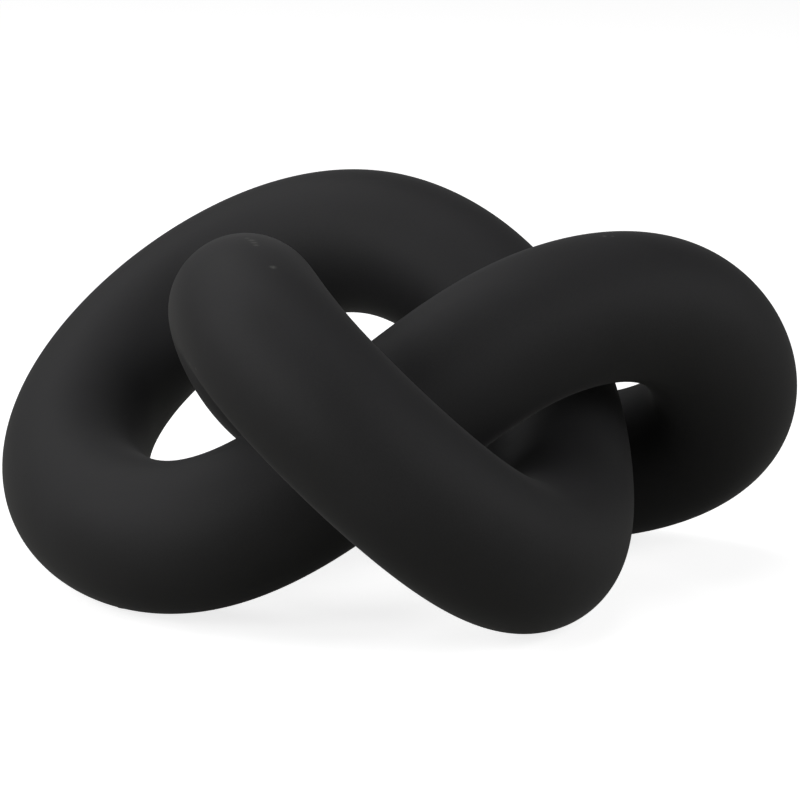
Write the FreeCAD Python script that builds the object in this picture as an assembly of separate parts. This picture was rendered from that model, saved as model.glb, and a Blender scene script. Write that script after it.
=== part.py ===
import FreeCAD, Part
import math
import os

# Knot sculpture: one round tube tied in a closed overhand knot with three lobes.
# It lies flat on three pads, one under the low point of each lobe.
# Six hollow cast sections, three arms that cross over and three lobes, meet end
# to end. A sleeve bridges each joint inside, and a weld fills its groove and is
# ground flush with the tube.
# Frame: millimetres, +Z up, the ground at Z = 0 and the origin under the middle
# of the knot's box. The front lobe points along -Y and the right lobe along +X.

# the tube and the knot
tube_diameter = 50.0
wall = 4.0
strand_gap = 4.0            # clear gap where one strand passes closest to another

# the joints
sleeve_wall = 2.5
sleeve_clearance = 0.15     # all round, between a sleeve and the bore
weld_root = 2.0             # gap between two section ends at the bore
weld_land = 1.0             # height of the square part of a section's end
weld_face = 6.0             # width of a weld at the tube's surface
weld_seam_turn = 45.0       # degrees that keep the seam of a groove off the tube's own

# the feet
pad_diameter = 9.0
pad_stand = 0.3             # height of the lowest strand above the ground
pad_seat_depth = 1.5        # how far a pad is let into the lowest strand
pad_clearance = 0.15        # all round, between a pad and its seat

# the vent that the closed hollow needs, and its push-in plug
vent_diameter = 6.0
plug_clearance = 0.1        # all round, between the plug's stem and the vent
plug_head_diameter = 9.0
plug_head_height = 0.8
plug_barb_diameter = 7.6
plug_barb_height = 1.5

overrun = 5.0               # how far each cutting shape runs past what it cuts

# The centreline is a smooth closed spline. Its poles, to the right, away and up,
# are shares of the distance between the middles of two strands that pass.
pole_shares = [
    (1.80, 0.03, 0.70),
    (2.24, 0.70, -0.28),
    (1.29, 1.34, -0.82),
    (-0.11, 1.27, -0.57),
    (-0.88, 0.36, 0.05),
    (-0.98, -0.73, 0.85),
    (-0.79, -1.95, 0.68),
    (0.30, -2.20, -0.33),
    (0.87, -1.32, -0.79),
    (1.04, -0.18, -0.62),
    (0.86, 0.84, 0.26),
    (-0.10, 1.64, 0.88),
    (-1.24, 2.10, 0.40),
    (-2.03, 1.50, -0.28),
    (-2.10, 0.00, -0.68),
    (-1.39, -1.09, -0.75),
    (-0.50, -1.20, -0.34),
    (0.66, -0.55, 0.63),
]
nodes_per_pole = 2          # arcs meet at this many nodes for each pole

# the node at which each section starts
section_starts = {
    "left_arm": 4,
    "front_lobe": 10,
    "back_arm": 16,
    "left_lobe": 22,
    "right_arm": 29,
    "right_lobe": 34,
}
lobes = ["front_lobe", "left_lobe", "right_lobe"]
vent_lobe = "left_lobe"
vent_place_share = 0.57     # of the way along that lobe
lowest_point_steps = 600    # points looked at to find the low point of a lobe

tube_radius = tube_diameter / 2
bore_radius = tube_radius - wall
sleeve_radius = bore_radius - sleeve_clearance
strand_pitch = tube_diameter + strand_gap
pad_thickness = pad_stand + pad_seat_depth
up = FreeCAD.Vector(0, 0, 1)


def arc(start, corner, end):
    # the arc that leaves start and reaches end along the two legs of the corner
    leg = (corner - start).Length
    share = (end - start).Length / (leg + leg)
    top = ((start + end) / 2 + corner * share) / (1 + share)
    return Part.Arc(start, top, end).toShape()


def two_arcs(start, start_direction, end, end_direction):
    # two arcs with legs of one length, tangent where they meet half way
    chord = end - start
    both = start_direction + end_direction
    turn = 2 * (1 - start_direction.dot(end_direction))
    ahead = chord.dot(both)
    leg = (math.sqrt(ahead * ahead + turn * chord.dot(chord)) - ahead) / turn
    first_corner = start + start_direction * leg
    last_corner = end - end_direction * leg
    middle = (first_corner + last_corner) / 2
    return [arc(start, first_corner, middle), arc(middle, last_corner, end)]


def knot_path():
    # the closed centreline as arcs, two for each stretch between nodes
    poles = [FreeCAD.Vector(*place) * strand_pitch for place in pole_shares]
    count = len(poles)
    curve = Part.BSplineCurve()
    knots = [float(knot) for knot in range(count + 1)]
    curve.buildFromPolesMultsKnots(poles, [1] * (count + 1), knots, True, 3)
    stations = [node / nodes_per_pole for node in range(count * nodes_per_pole)]
    places = [curve.value(station) for station in stations]
    directions = [curve.tangent(station)[0] for station in stations]
    path = []
    for node in range(len(stations)):
        after = (node + 1) % len(stations)
        path.extend(two_arcs(places[node], directions[node], places[after], directions[after]))
    return path


def set_down(path):
    # centres the knot over the origin and lifts its lowest strand to the pads' stand
    box = Part.Wire(path).BoundBox
    shift = FreeCAD.Vector(-box.Center.x, -box.Center.y, pad_stand + tube_radius - box.ZMin)
    return [edge.translated(shift) for edge in path]


def stretch(path, first, last):
    # the arcs from one node to another, in a list that starts at its first arc
    count = len(path)
    return [path[index % count] for index in range(2 * first, 2 * last)]


def start_of(edge):
    return edge.valueAt(edge.FirstParameter), edge.tangentAt(edge.FirstParameter)


def end_of(edge):
    return edge.valueAt(edge.LastParameter), edge.tangentAt(edge.LastParameter)


def round_profile(place, direction, radius):
    # a circle in two halves that meet above and below the centreline
    across = direction.cross(up)
    across.normalize()
    above = across.cross(direction)
    top = place + above * radius
    bottom = place - above * radius
    right_half = Part.Arc(top, place + across * radius, bottom)
    left_half = Part.Arc(bottom, place - across * radius, top)
    return Part.Wire([right_half.toShape(), left_half.toShape()])


def solid_tube(edges, radius, past_ends=0):
    # a round bar along the edges, drawn out straight past both ends if asked
    start, start_direction = start_of(edges[0])
    end, end_direction = end_of(edges[-1])
    if past_ends:
        before = start - start_direction * past_ends
        after = end + end_direction * past_ends
        lead_in = Part.LineSegment(before, start).toShape()
        lead_out = Part.LineSegment(end, after).toShape()
        edges = [lead_in] + edges + [lead_out]
        start = before
    profile = round_profile(start, start_direction, radius)
    return Part.Wire(edges).makePipeShell([profile], True, False)


def tube_layer(edges, outer_radius, inner_radius):
    return solid_tube(edges, outer_radius).cut(solid_tube(edges, inner_radius, overrun))


def joint_groove(place, direction):
    # parallel at the root, then opening out evenly to the tube's surface and past it
    inner = sleeve_radius - sleeve_wall
    land = bore_radius + weld_land
    outer = tube_radius + overrun
    half_root = weld_root / 2
    flare_share = (weld_face - weld_root) / 2 / (tube_radius - land)
    half_outer = half_root + (outer - land) * flare_share
    outline = [
        (inner, -half_root),
        (land, -half_root),
        (outer, -half_outer),
        (outer, half_outer),
        (land, half_root),
        (inner, half_root),
    ]
    corners = [FreeCAD.Vector(out, 0, along) for out, along in outline]
    profile = Part.Face(Part.makePolygon(corners + corners[:1]))
    ring = profile.revolve(FreeCAD.Vector(0, 0, 0), up, 360)
    turned = FreeCAD.Rotation(up, direction).multiply(FreeCAD.Rotation(up, weld_seam_turn))
    ring.Placement = FreeCAD.Placement(place, turned)
    return ring


def joint_sleeve(edges):
    return tube_layer(edges, sleeve_radius, sleeve_radius - sleeve_wall)


def joint_weld(edges, groove):
    return tube_layer(edges, tube_radius, sleeve_radius).common(groove)


def low_point(edges):
    points = Part.Wire(edges).discretize(Number=lowest_point_steps)
    return min(points, key=lambda point: point.z)


def foot_pad(point):
    ground_point = FreeCAD.Vector(point.x, point.y, 0)
    return Part.makeCylinder(pad_diameter / 2, pad_thickness, ground_point)


def pad_seat(point):
    below = FreeCAD.Vector(point.x, point.y, -overrun)
    radius = pad_diameter / 2 + pad_clearance
    return Part.makeCylinder(radius, pad_thickness + overrun, below)


def seat_pad(section, point):
    # the slug that the cut frees can stay behind as a solid, so only the section is kept
    solids = section.cut(pad_seat(point)).Solids
    return max(solids, key=lambda solid: solid.Volume)


def vent_axis(edge):
    # from the middle of the tube, square to it and as near straight down as can be
    place, direction = start_of(edge)
    outwards = direction * direction.dot(up) - up
    outwards.normalize()
    return place, outwards


def vent_hole(place, outwards):
    return Part.makeCylinder(vent_diameter / 2, tube_radius + overrun, place, outwards)


def vent_plug(edges, place, outwards):
    # a barb inside the bore, a stem in the vent and a low head on the tube's surface
    layers = [
        (plug_barb_diameter, bore_radius, bore_radius - plug_barb_height),
        (vent_diameter - 2 * plug_clearance, tube_radius, bore_radius),
        (plug_head_diameter, tube_radius + plug_head_height, tube_radius),
    ]
    pieces = []
    for diameter, outer_radius, inner_radius in layers:
        reach = Part.makeCylinder(diameter / 2, outer_radius + overrun, place, outwards)
        pieces.append(reach.common(tube_layer(edges, outer_radius, inner_radius)))
    return pieces[0].fuse(pieces[1:])


def build():
    path = set_down(knot_path())
    node_count = len(path) // 2
    names = list(section_starts)
    starts = list(section_starts.values())
    parts = {}
    grooves = []
    for number, node in enumerate(starts, start=1):
        arc_before = path[2 * node - 1]
        arc_after = path[2 * node]
        groove = joint_groove(*start_of(arc_after))
        grooves.append(groove)
        parts["joint_sleeve_%d" % number] = joint_sleeve([arc_before, arc_after])
        parts["weld_ring_%d" % number] = joint_weld([arc_before, arc_after], groove)
    for index, name in enumerate(names):
        following = (index + 1) % len(names)
        last = starts[following]
        if last < starts[index]:
            last += node_count
        edges = stretch(path, starts[index], last)
        section = tube_layer(edges, tube_radius, bore_radius)
        section = section.cut([grooves[index], grooves[following]])
        if name in lobes:
            point = low_point(edges)
            section = seat_pad(section, point)
            parts[name.replace("lobe", "foot_pad")] = foot_pad(point)
        if name == vent_lobe:
            arc_index = round(len(edges) * vent_place_share)
            place, outwards = vent_axis(edges[arc_index])
            section = section.cut(vent_hole(place, outwards))
            beside = edges[arc_index - 1:arc_index + 1]
            parts["vent_plug"] = vent_plug(beside, place, outwards)
        parts[name] = section
    return parts


os.makedirs("parts", exist_ok=True)
for name, shape in build().items():
    solids = shape.Solids
    print("%-16s solids %d valid %s volume %.0f" % (name, len(solids), shape.isValid(), shape.Volume))
    solids[0].exportStep("parts/%s.step" % name)
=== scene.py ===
import math

import bpy
import numpy as np
from mathutils import Matrix, Vector


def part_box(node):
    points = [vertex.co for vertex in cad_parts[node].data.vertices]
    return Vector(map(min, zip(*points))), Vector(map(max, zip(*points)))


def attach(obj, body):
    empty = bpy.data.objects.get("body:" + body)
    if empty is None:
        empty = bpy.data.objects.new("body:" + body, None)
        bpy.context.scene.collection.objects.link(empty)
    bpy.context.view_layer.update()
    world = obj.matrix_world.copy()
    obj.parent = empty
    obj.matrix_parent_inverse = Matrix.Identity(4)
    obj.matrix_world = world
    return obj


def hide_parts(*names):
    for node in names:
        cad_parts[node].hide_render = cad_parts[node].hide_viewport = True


# Knot sculpture: a powder coated tube of cast aluminium tied in a three-lobed knot.
# Metres, +Z up, the front lobe towards -Y. The CAD sleeves stay inside as they are.

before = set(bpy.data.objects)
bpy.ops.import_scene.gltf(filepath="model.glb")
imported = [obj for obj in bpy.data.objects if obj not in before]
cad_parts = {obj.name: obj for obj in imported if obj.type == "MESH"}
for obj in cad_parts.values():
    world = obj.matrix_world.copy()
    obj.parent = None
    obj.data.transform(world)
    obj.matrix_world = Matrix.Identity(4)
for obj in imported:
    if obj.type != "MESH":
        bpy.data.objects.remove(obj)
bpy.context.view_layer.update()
print("frame loaded,", len(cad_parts), "nodes")


# camera, at the photo's view

photoView = {
    "elevation": 11.64,       # degrees above the horizon
    "roll": 0.357,            # degrees, the picture leans a touch clockwise
    "distance": 1.7845,       # metres to the target
    "target": (0.00029, 0.00437, 0.06319),
    "lens": 240.6,            # millimetres, as the sensor is
    "sensor": 36.0,
    "shift": (-0.0002, -0.0020),
    "clip": (0.05, 50.0),     # nearest and farthest that the camera sees
}


def makeCamera(view):
    # steps back from the target along the line of sight, then rolls about that line
    tilt = math.radians(view["elevation"])
    back = Vector((0, -math.cos(tilt), math.sin(tilt)))
    place = Vector(view["target"]) + back * view["distance"]
    data = bpy.data.cameras.new("camera")
    data.sensor_width = view["sensor"]
    data.lens = view["lens"]
    data.shift_x, data.shift_y = view["shift"]
    data.clip_start, data.clip_end = view["clip"]
    camera = bpy.data.objects.new("camera", data)
    bpy.context.scene.collection.objects.link(camera)
    raised = Matrix.Rotation(math.pi / 2 - tilt, 4, "X")
    rolled = Matrix.Rotation(math.radians(view["roll"]), 4, "Z")
    camera.matrix_world = Matrix.Translation(place) @ raised @ rolled
    bpy.context.scene.camera = camera


makeCamera(photoView)
bpy.context.scene.view_settings.view_transform = "Standard"
print("camera placed")


# the knot's centreline

knot = {
    "tubeRadius": 0.025,
    "wall": 0.004,
    "strandGap": 0.004,       # clear gap where one strand passes closest to another
    "padStand": 0.0003,       # height of the lowest strand above the ground
    "around": 192,            # faces around the tube
    "skinStep": 0.001,        # length of a face along the skin
    "boreStep": 0.005,        # and along the bore
    "lineSteps": 400,         # points looked at from pole to pole to find the line's box
    # spline poles to the right, away and up, in shares of the pitch of two strands
    "poleShares": [
        (1.80, 0.03, 0.70),
        (2.24, 0.70, -0.28),
        (1.29, 1.34, -0.82),
        (-0.11, 1.27, -0.57),
        (-0.88, 0.36, 0.05),
        (-0.98, -0.73, 0.85),
        (-0.79, -1.95, 0.68),
        (0.30, -2.20, -0.33),
        (0.87, -1.32, -0.79),
        (1.04, -0.18, -0.62),
        (0.86, 0.84, 0.26),
        (-0.10, 1.64, 0.88),
        (-1.24, 2.10, 0.40),
        (-2.03, 1.50, -0.28),
        (-2.10, 0.00, -0.68),
        (-1.39, -1.09, -0.75),
        (-0.50, -1.20, -0.34),
        (0.66, -0.55, 0.63),
    ],
    # where each section starts, counted in poles along the centreline
    "sectionStarts": {
        "left_arm": 2.0,
        "front_lobe": 5.0,
        "back_arm": 8.0,
        "left_lobe": 11.0,
        "right_arm": 14.5,
        "right_lobe": 17.0,
    },
}
tubeRadius = knot["tubeRadius"]
boreRadius = tubeRadius - knot["wall"]
poles = np.array(knot["poleShares"]) * (2 * tubeRadius + knot["strandGap"])


def splineSum(stations, weights):
    # the sum of four poles in a row, each times its weight at the station's share of a step
    whole = np.floor(stations).astype(int)
    rows = [weight[:, None] * poles[(whole + index) % len(poles)]
            for index, weight in enumerate(weights(stations - whole))]
    return sum(rows)


def placeWeights(t):
    # uniform cubic B-spline: (1-t)^3, 3t^3-6t^2+4, 1+3t+3t^2-3t^3 and t^3, each over 6
    return (
        (1 - t) ** 3 / 6,
        (3 * t**3 - 6 * t**2 + 4) / 6,
        (1 + 3 * t + 3 * t**2 - 3 * t**3) / 6,
        t**3 / 6,
    )


def slopeWeights(t):
    # the derivatives of those four
    return -((1 - t) ** 2) / 2, (3 * t**2 - 4 * t) / 2, (1 + 2 * t - 3 * t**2) / 2, t**2 / 2


def restingShift():
    # centres the line over the origin and lifts its lowest strand onto the pads
    line = splineSum(np.linspace(0, len(poles), knot["lineSteps"] * len(poles)), placeWeights)
    low, high = line.min(0), line.max(0)
    middle = (low + high) / 2
    return np.array([-middle[0], -middle[1], knot["padStand"] + tubeRadius - low[2]])


knotShift = restingShift()


def lineSpeed(station):
    # metres of centreline to one step between poles
    return float(np.linalg.norm(splineSum(np.array([station]), slopeWeights)))


def onTube(stations, angles, radii):
    # centreline + radius * (cos angle * level axis + sin angle * raised axis), where the
    # level axis is square to the line and the ground, and the raised one square to both
    along = splineSum(stations, slopeWeights)
    along /= np.linalg.norm(along, axis=1)[:, None]
    level = np.cross(along, (0.0, 0.0, 1.0))
    level /= np.linalg.norm(level, axis=1)[:, None]
    raised = np.cross(level, along)
    spokes = np.cos(angles)[:, None] * level + np.sin(angles)[:, None] * raised
    return splineSum(stations, placeWeights) + knotShift + radii[:, None] * spokes


# meshes

crispAngle = 35               # degrees between two faces past which their edge stays crisp


def addPiece(name, vertices, faces, cadNode, slotName):
    # a smooth mesh with crisp edges that rides with the knot and stands for its CAD node
    mesh = bpy.data.meshes.new(name)
    mesh.from_pydata(vertices, [], faces)
    mesh.shade_smooth()
    mesh.set_sharp_from_angle(angle=math.radians(crispAngle))
    piece = bpy.data.objects.new(name, mesh)
    bpy.context.scene.collection.objects.link(piece)
    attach(piece, "root")
    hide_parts(cadNode)
    return piece


def gridFaces(rows, columns, joinRows):
    # quads between each row of points and the next; the columns always join up
    row = np.arange(rows if joinRows else rows - 1)[:, None]
    column = np.arange(columns)[None, :]
    nextRow = (row + 1) % rows
    nextColumn = (column + 1) % columns
    corners = [row * columns + column, nextRow * columns + column,
               nextRow * columns + nextColumn, row * columns + nextColumn]
    return np.stack(corners, axis=-1).reshape(-1, 4).tolist()


def tubeShell(name, loop, cadNode):
    # a closed loop of stations and radii taken round the centreline: skin, end, bore and
    # other end, so that the mesh has neither seam nor open edge
    columns = np.linspace(0, 2 * math.pi, knot["around"], endpoint=False)
    stations, angles = np.meshgrid(loop[0], columns, indexing="ij")
    radii = np.repeat(loop[1], len(columns))
    vertices = onTube(stations.ravel(), angles.ravel(), radii)
    faces = gridFaces(len(loop[0]), len(columns), joinRows=True)
    return addPiece(name, vertices.tolist(), faces, cadNode, "powder_coat")


def capped(rings):
    # rings of points as one closed mesh, with a fan at the middle of each end ring
    rows, around, _ = rings.shape
    vertices = np.concatenate([rings.reshape(-1, 3), rings[[0, -1]].mean(axis=1)])
    first = np.arange(around)
    second = (first + 1) % around
    last = (rows - 1) * around
    firstFan = np.stack([np.full(around, rows * around), first, second], axis=1)
    lastFan = np.stack([np.full(around, rows * around + 1), last + second, last + first], axis=1)
    faces = gridFaces(rows, around, joinRows=False) + firstFan.tolist() + lastFan.tolist()
    return vertices.tolist(), faces


# the coated tube: six sections and the six welds between them

weld = {
    "root": 0.002,            # gap between two section ends at the bore
    "land": 0.001,            # height of the square part of a section's end
    "face": 0.006,            # width of a weld at the skin
    "sleeveClearance": 0.00015,
    "steps": 6,               # faces along a weld's skin
}
landRadius = boreRadius + weld["land"]


def sectionLoop(start, end):
    # along the skin, down the end's flank, back along the bore and up the other flank
    startSpeed, endSpeed = lineSpeed(start), lineSpeed(end)
    length = (end - start) * (startSpeed + endSpeed) / 2
    skin = np.linspace(start + weld["face"] / 2 / startSpeed, end - weld["face"] / 2 / endSpeed,
                       round(length / knot["skinStep"]))
    bore = np.linspace(end - weld["root"] / 2 / endSpeed, start + weld["root"] / 2 / startSpeed,
                       round(length / knot["boreStep"]))
    stations = np.concatenate([skin, bore[:1], bore, bore[-1:]])
    radii = np.concatenate([np.full(len(skin), tubeRadius), [landRadius],
                            np.full(len(bore), boreRadius), [landRadius]])
    return stations, radii


def weldLoop(joint):
    # along the skin over the joint, then down one flank to the sleeve and up the other
    halfFace = weld["face"] / 2 / lineSpeed(joint)
    halfRoot = weld["root"] / 2 / lineSpeed(joint)
    skin = np.linspace(joint - halfFace, joint + halfFace, weld["steps"] + 1)
    stations = np.concatenate([skin, joint + halfRoot * np.array([1, 1, -1, -1])])
    rootRadius = boreRadius - weld["sleeveClearance"]
    radii = np.concatenate([np.full(len(skin), tubeRadius),
                            [landRadius, rootRadius, rootRadius, landRadius]])
    return stations, radii


def makeTube():
    # each section, and the weld at its start
    names = list(knot["sectionStarts"])
    starts = list(knot["sectionStarts"].values())
    ends = starts[1:] + [starts[0] + len(poles)]
    coated = []
    for number, (name, start, end) in enumerate(zip(names, starts, ends), start=1):
        ring = "weld_ring_%d" % number
        coated.append(tubeShell(name + "_casting", sectionLoop(start, end), name))
        coated.append(tubeShell(ring + "_ground", weldLoop(start), ring))
    return coated


coatedPieces = makeTube()
print("tube made,", len(coatedPieces), "pieces")


# the rubber pads under the knot

pad = {
    "radius": 0.0045,
    "edge": 0.0003,           # rounding of the rim
    "dish": 0.0001,           # hollow of the sole
    "ring": 0.0014,           # width of the ring that meets the ground
    "around": 64,
    "rimSteps": 7,            # rings round the rim's quarter turn
    "innerShare": 0.25,       # radius of a face's innermost ring, as a share of the face's
}


def padRings(node):
    # turned about the upright through the CAD pad's middle: top, rounded rim and dished sole
    low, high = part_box(node)
    radius, edge = pad["radius"], pad["edge"]
    turn = np.linspace(0, math.pi / 2, pad["rimSteps"])
    rimRadii = radius - edge * (1 - np.cos(turn))
    rimHeights = low[2] + edge * (1 - np.sin(turn))
    dishRadius = radius - edge - pad["ring"]
    radii = np.concatenate([[radius * pad["innerShare"], radius - edge, radius], rimRadii,
                            [dishRadius, dishRadius - edge, dishRadius * pad["innerShare"]]])
    heights = np.concatenate([[high[2], high[2], high[2] - edge], rimHeights,
                              low[2] + pad["dish"] * np.array([0, 1, 1])])
    angles = np.linspace(0, 2 * math.pi, pad["around"], endpoint=False)
    middle = (low + high) / 2
    rings = np.empty((len(radii), len(angles), 3))
    rings[..., 0] = middle[0] + radii[:, None] * np.cos(angles)
    rings[..., 1] = middle[1] + radii[:, None] * np.sin(angles)
    rings[..., 2] = heights[:, None]
    return rings


def makePads():
    nodes = ["front_foot_pad", "left_foot_pad", "right_foot_pad"]
    return [addPiece(node + "_rubber", *capped(padRings(node)), node, "black_rubber") for node in nodes]


# the push-in plug of the vent under the left lobe

plug = {
    "station": 13.0,          # counted in poles, as the sections' starts are
    "headRadius": 0.0045,
    "headHeight": 0.0008,
    "headSteps": 9,           # rings over the head, its middle counted
    "headPower": 0.5,         # of the cosine; a lower one makes a flatter head
    "stemRadius": 0.0029,
    "barbRadius": 0.0038,
    "barbHeight": 0.0015,
    "barbShare": 1 / 3,       # of the barb's height, before it narrows
    "tipShare": 0.25,         # radius of the innermost ring, as a share of the stem's
    "around": 64,
}


def makePlug():
    # rings of a radius and a height over the skin, laid on the tube about the vent's middle:
    # station + radius cos turn, and the same length of radius sin turn around the tube
    turn = np.linspace(0, math.pi / 2, plug["headSteps"])[1:]
    crown = plug["headHeight"] * np.cos(turn) ** plug["headPower"]
    stem = plug["stemRadius"]
    barbTop = -knot["wall"]
    barbWaist = barbTop - plug["barbHeight"] * plug["barbShare"]
    barbEnd = barbTop - plug["barbHeight"]
    radii = np.concatenate([plug["headRadius"] * np.sin(turn), [stem, stem],
                            [plug["barbRadius"], plug["barbRadius"]], [stem, stem * plug["tipShare"]]])
    heights = np.concatenate([crown, [0, barbTop], [barbTop, barbWaist], [barbEnd, barbEnd]])
    turns = np.linspace(0, 2 * math.pi, plug["around"], endpoint=False)
    shape = (len(radii), len(turns))
    ahead = radii[:, None] * np.cos(turns)
    aside = radii[:, None] * np.sin(turns)
    reach = np.broadcast_to(tubeRadius + heights[:, None], shape)
    stations = plug["station"] + ahead / lineSpeed(plug["station"])
    angles = -math.pi / 2 + aside / reach
    rings = onTube(stations.ravel(), angles.ravel(), reach.ravel()).reshape(*shape, 3)
    return addPiece("vent_plug_rubber", *capped(rings), "vent_plug", "black_rubber")


rubberPieces = makePads() + [makePlug()]
print("rubber made,", len(rubberPieces), "pieces")


# shader helpers

class Wire:
    # an output socket; sums and products on it add Math nodes
    def __init__(self, recipe, socket):
        self.recipe = recipe
        self.socket = socket

    def joined(self, operation, left, right):
        return self.recipe.node("ShaderNodeMath", {"operation": operation}, {0: left, 1: right})

    def __add__(self, other):
        return self.joined("ADD", self, other)

    def __radd__(self, other):
        return self.joined("ADD", other, self)

    def __sub__(self, other):
        return self.joined("SUBTRACT", self, other)

    def __rsub__(self, other):
        return self.joined("SUBTRACT", other, self)

    def __mul__(self, other):
        return self.joined("MULTIPLY", self, other)

    def __rmul__(self, other):
        return self.joined("MULTIPLY", other, self)


class Recipe:
    # one material's or world's node tree
    def __init__(self, owner):
        owner.use_nodes = True
        self.owner = owner
        self.tree = owner.node_tree
        self.tree.nodes.clear()

    def node(self, kind, settings=None, inputs=None, output=0):
        # its settings first, then a value or a link for each socket
        made = self.tree.nodes.new(kind)
        for key, value in (settings or {}).items():
            setattr(made, key, value)
        for key, value in (inputs or {}).items():
            if isinstance(value, Wire):
                self.tree.links.new(value.socket, made.inputs[key])
            else:
                made.inputs[key].default_value = value
        return Wire(self, made.outputs[output]) if len(made.outputs) else made

    def coordinates(self):
        return self.node("ShaderNodeTexCoord", output="Object")

    def noise(self, size, detail=2.0, roughness=0.5):
        # noise whose lumps are about one size across, in metres
        return self.node("ShaderNodeTexNoise", {}, {
            "Vector": self.coordinates(), "Scale": 1 / size, "Detail": detail, "Roughness": roughness})

    def ramp(self, value, start, end, low=0.0, high=1.0):
        # eases from low to high as the value goes from start to end
        return self.node("ShaderNodeMapRange", {"interpolation_type": "SMOOTHSTEP"}, {
            "Value": value, "From Min": start, "From Max": end, "To Min": low, "To Max": high})

    def blend(self, share, first, second):
        # the Mix node takes its two colours at sockets 6 and 7 and gives theirs at 2
        return self.node("ShaderNodeMix", {"data_type": "RGBA"}, {0: share, 6: first, 7: second}, output=2)

    def bump(self, height, distance, normal=None):
        inputs = {"Height": height, "Distance": distance, "Strength": 1.0}
        if normal:
            inputs["Normal"] = normal
        return self.node("ShaderNodeBump", {}, inputs)

    def surface(self, inputs):
        shader = self.node("ShaderNodeBsdfPrincipled", {}, inputs)
        self.node("ShaderNodeOutputMaterial", {}, {"Surface": shader})


def opaque(colour):
    return (*colour, 1.0)


# matte powder coat

coat = {
    "colour": (0.0235, 0.0230, 0.0245),
    "deep": (0.0175, 0.0172, 0.0182),     # the darker end of its drift
    "cloudSize": 0.030,       # slow drift of the colour over the castings
    "cloudDetail": 4.0,
    "cloudShare": 0.6,        # of the drift in the tone, the rest is grain
    "toneSpan": (0.3, 0.7),   # the tone goes from deep to colour between these
    "grainSize": 0.0006,      # the powder's own fine grain
    "grainDetail": 3.0,
    "grainRoughness": 0.6,
    "grainHeight": 0.00002,
    "peelSize": 0.004,        # long low waves where the powder flowed
    "peelHeight": 0.00003,
    "roughness": 0.66,
    "roughnessDrift": 0.10,
    "specular": 0.3,
    "sheen": 0.08,            # the grain catches light at a low angle
    "sheenRoughness": 0.3,
    # lighter colour of the rubbed spots and of the painted glint
    "scuffAndGlintColour": (0.09, 0.09, 0.085),
    "scuffAndGlintSpan": (0.5, 1.3),  # shares of its radius between which a spot fades
    # small lighter spots, place and radius: rubbed wear on the left arm and the right lobe, and two spots of
    # painted highlight, a glint low on the left arm's edge
    "scuffsAndGlint": [
        ((-0.0490, -0.0586, 0.1282), 0.0017),
        ((-0.0474, -0.0620, 0.1281), 0.0022),
        ((-0.0465, -0.0652, 0.1279), 0.0020),
        ((-0.0459, -0.0682, 0.1277), 0.0018),
        ((-0.0400, -0.0858, 0.1237), 0.0019),
        # the next two spots are painted highlight: a glint along the left arm's lower edge
        ((-0.0664, -0.0825, 0.0918), 0.0012),
        ((-0.0642, -0.0896, 0.0916), 0.0010),
        ((0.0670, -0.0136, 0.1217), 0.0014),
        ((0.0697, -0.0132, 0.1217), 0.0010),
    ],
}


def scuffAndGlintMask(recipe, ragged):
    # 1 in the middle of each spot, rubbed wear and painted glint alike, easing to 0 at its ragged edge
    full, gone = coat["scuffAndGlintSpan"]
    marks = []
    for centre, radius in coat["scuffsAndGlint"]:
        away = recipe.node("ShaderNodeVectorMath", {"operation": "DISTANCE"},
                           {0: recipe.coordinates(), 1: centre}, output="Value")
        marks.append(recipe.ramp(away + ragged * radius, full * radius, gone * radius, 1.0, 0.0))
    return sum(marks[1:], marks[0])


def powderCoat():
    recipe = Recipe(bpy.data.materials.new("matte_powder_coat"))
    cloud = recipe.noise(coat["cloudSize"], coat["cloudDetail"])
    grain = recipe.noise(coat["grainSize"], coat["grainDetail"], coat["grainRoughness"])
    peel = recipe.noise(coat["peelSize"])
    mixed = cloud * coat["cloudShare"] + grain * (1 - coat["cloudShare"])
    tone = recipe.ramp(mixed, *coat["toneSpan"])
    plain = recipe.blend(tone, opaque(coat["deep"]), opaque(coat["colour"]))
    # lighter at the rubbed spots and at the painted glint
    colour = recipe.blend(scuffAndGlintMask(recipe, grain), plain, opaque(coat["scuffAndGlintColour"]))
    roughness = coat["roughness"] + (cloud - 0.5) * coat["roughnessDrift"]
    waves = recipe.bump(peel, coat["peelHeight"])
    skin = recipe.bump(grain, coat["grainHeight"], waves)
    recipe.surface({
        "Base Color": colour, "Roughness": roughness, "Normal": skin,
        "Specular IOR Level": coat["specular"],
        "Sheen Weight": coat["sheen"], "Sheen Roughness": coat["sheenRoughness"]})
    return recipe.owner


# moulded rubber of the pads and the plug

rubber = {
    "colour": (0.034, 0.034, 0.034),
    "deep": (0.018, 0.018, 0.018),
    "grainSize": 0.0004,      # the mould's fine texture
    "grainDetail": 3.0,
    "grainHeight": 0.00003,
    "roughness": 0.75,
    "roughnessDrift": 0.15,
    "specular": 0.35,
}


def padRubber():
    recipe = Recipe(bpy.data.materials.new("moulded_rubber"))
    grain = recipe.noise(rubber["grainSize"], rubber["grainDetail"])
    recipe.surface({
        "Base Color": recipe.blend(grain, opaque(rubber["deep"]), opaque(rubber["colour"])),
        "Roughness": rubber["roughness"] + grain * rubber["roughnessDrift"],
        "Normal": recipe.bump(grain, rubber["grainHeight"]),
        "Specular IOR Level": rubber["specular"]})
    return recipe.owner


# bare aluminium of the sleeves inside

aluminium = {
    "colour": (0.74, 0.74, 0.75),
    "deep": (0.58, 0.58, 0.59),
    "markSize": 0.0008,       # fine marks that the tool left
    "markDetail": 3.0,
    "markHeight": 0.00001,
    "roughness": 0.35,
    "roughnessDrift": 0.2,
}


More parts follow.
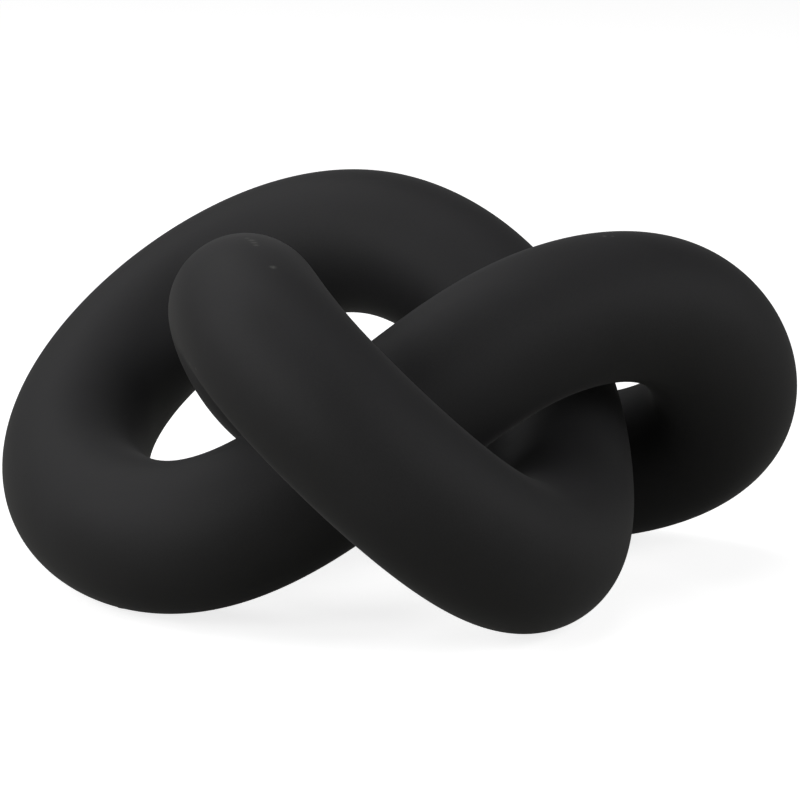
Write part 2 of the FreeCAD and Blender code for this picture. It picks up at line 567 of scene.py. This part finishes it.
def turnedAluminium():
    recipe = Recipe(bpy.data.materials.new("turned_aluminium"))
    marks = recipe.noise(aluminium["markSize"], aluminium["markDetail"])
    recipe.surface({
        "Base Color": recipe.blend(marks, opaque(aluminium["deep"]), opaque(aluminium["colour"])),
        "Metallic": 1.0,
        "Roughness": aluminium["roughness"] + marks * aluminium["roughnessDrift"],
        "Normal": recipe.bump(marks, aluminium["markHeight"])})
    return recipe.owner


def dress(pieces, material):
    # the one material, in place of what the pieces had
    for piece in pieces:
        piece.data.materials.clear()
        piece.data.materials.append(material)


sleeves = [node for name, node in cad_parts.items() if name.startswith("joint_sleeve")]
dress(coatedPieces, powderCoat())
dress(rubberPieces, padRubber())
dress(sleeves, turnedAluminium())
print("materials made")


# pale floor, white surround and soft studio lamps

studio = {
    "floorSize": 6.0,
    "floorColour": (0.35, 0.35, 0.31),    # of the floor as it lights the knot
    "floorSeen": 0.85,        # grey level of the same floor as the camera sees it
    "floorWhite": 0.8,        # plain white added to that
    "fill": 0.04,             # strength of the surround as light
    "mirrored": 0.1,          # share of the white that shows in the coat's dull gloss
}
lamps = {
    "target": (0.0, 0.0, 0.06),
    "distance": 1.6,          # of each one from the target
    "size": 0.9,              # across its round front
    # direction round the knot from the camera's side, height in degrees, and power
    "boxes": {
        "left": (-90, 30, 5.4),
        "frontLeft": (-45, 20, 6.8),
        "backLeft": (-135, 50, 3.9),
        "top": (0, 88, 3.0),
        "frontRight": (45, 30, 4.5),
        "right": (90, 20, 3.6),
    },
}


def seenDirectly(recipe):
    # 1 for what the camera sees, a little for the coat's gloss, 0 for light falling on things
    camera = recipe.node("ShaderNodeLightPath", output="Is Camera Ray")
    glossy = recipe.node("ShaderNodeLightPath", output="Is Glossy Ray")
    clear = recipe.node("ShaderNodeLightPath", output="Is Transmission Ray")
    total = camera + clear + glossy * studio["mirrored"]
    return recipe.node("ShaderNodeMath", {"operation": "MINIMUM"}, {0: total, 1: 1.0})


def makeFloor():
    # one square: a grey that lights the knot, and near white to the camera
    half = studio["floorSize"] / 2
    corners = [(-half, -half, 0), (half, -half, 0), (half, half, 0), (-half, half, 0)]
    mesh = bpy.data.meshes.new("floor")
    mesh.from_pydata(corners, [], [(0, 1, 2, 3)])
    floor = bpy.data.objects.new("floor", mesh)
    bpy.context.scene.collection.objects.link(floor)
    recipe = Recipe(bpy.data.materials.new("floor"))
    seen = seenDirectly(recipe)
    grey = recipe.blend(seen, opaque(studio["floorColour"]), opaque([studio["floorSeen"]] * 3))
    paint = recipe.node("ShaderNodeBsdfDiffuse", {}, {"Color": grey})
    white = recipe.node("ShaderNodeEmission", {}, {"Strength": seen * studio["floorWhite"]})
    both = recipe.node("ShaderNodeAddShader", {}, {0: paint, 1: white})
    recipe.node("ShaderNodeOutputMaterial", {}, {"Surface": both})
    mesh.materials.append(recipe.owner)


def makeSurround():
    # faint as light, and plain white to the camera
    world = bpy.data.worlds.new("surround")
    bpy.context.scene.world = world
    recipe = Recipe(world)
    strength = studio["fill"] + seenDirectly(recipe) * (1 - studio["fill"])
    light = recipe.node("ShaderNodeBackground", {}, {"Color": opaque((1, 1, 1)), "Strength": strength})
    recipe.node("ShaderNodeOutputWorld", {}, {"Surface": light})


def makeLamps():
    # round soft boxes that face the target from all sides
    target = Vector(lamps["target"])
    for name, (azimuth, height, power) in lamps["boxes"].items():
        turn, tilt = math.radians(azimuth), math.radians(height)
        towards = Vector((math.sin(turn) * math.cos(tilt), -math.cos(turn) * math.cos(tilt), math.sin(tilt)))
        data = bpy.data.lights.new(name, "AREA")
        data.shape = "DISK"
        data.size = lamps["size"]
        data.energy = power
        softBox = bpy.data.objects.new(name, data)
        bpy.context.scene.collection.objects.link(softBox)
        softBox.location = target + towards * lamps["distance"]
        softBox.rotation_euler = towards.to_track_quat("Z", "Y").to_euler()


makeFloor()
makeSurround()
makeLamps()
print("studio lit")
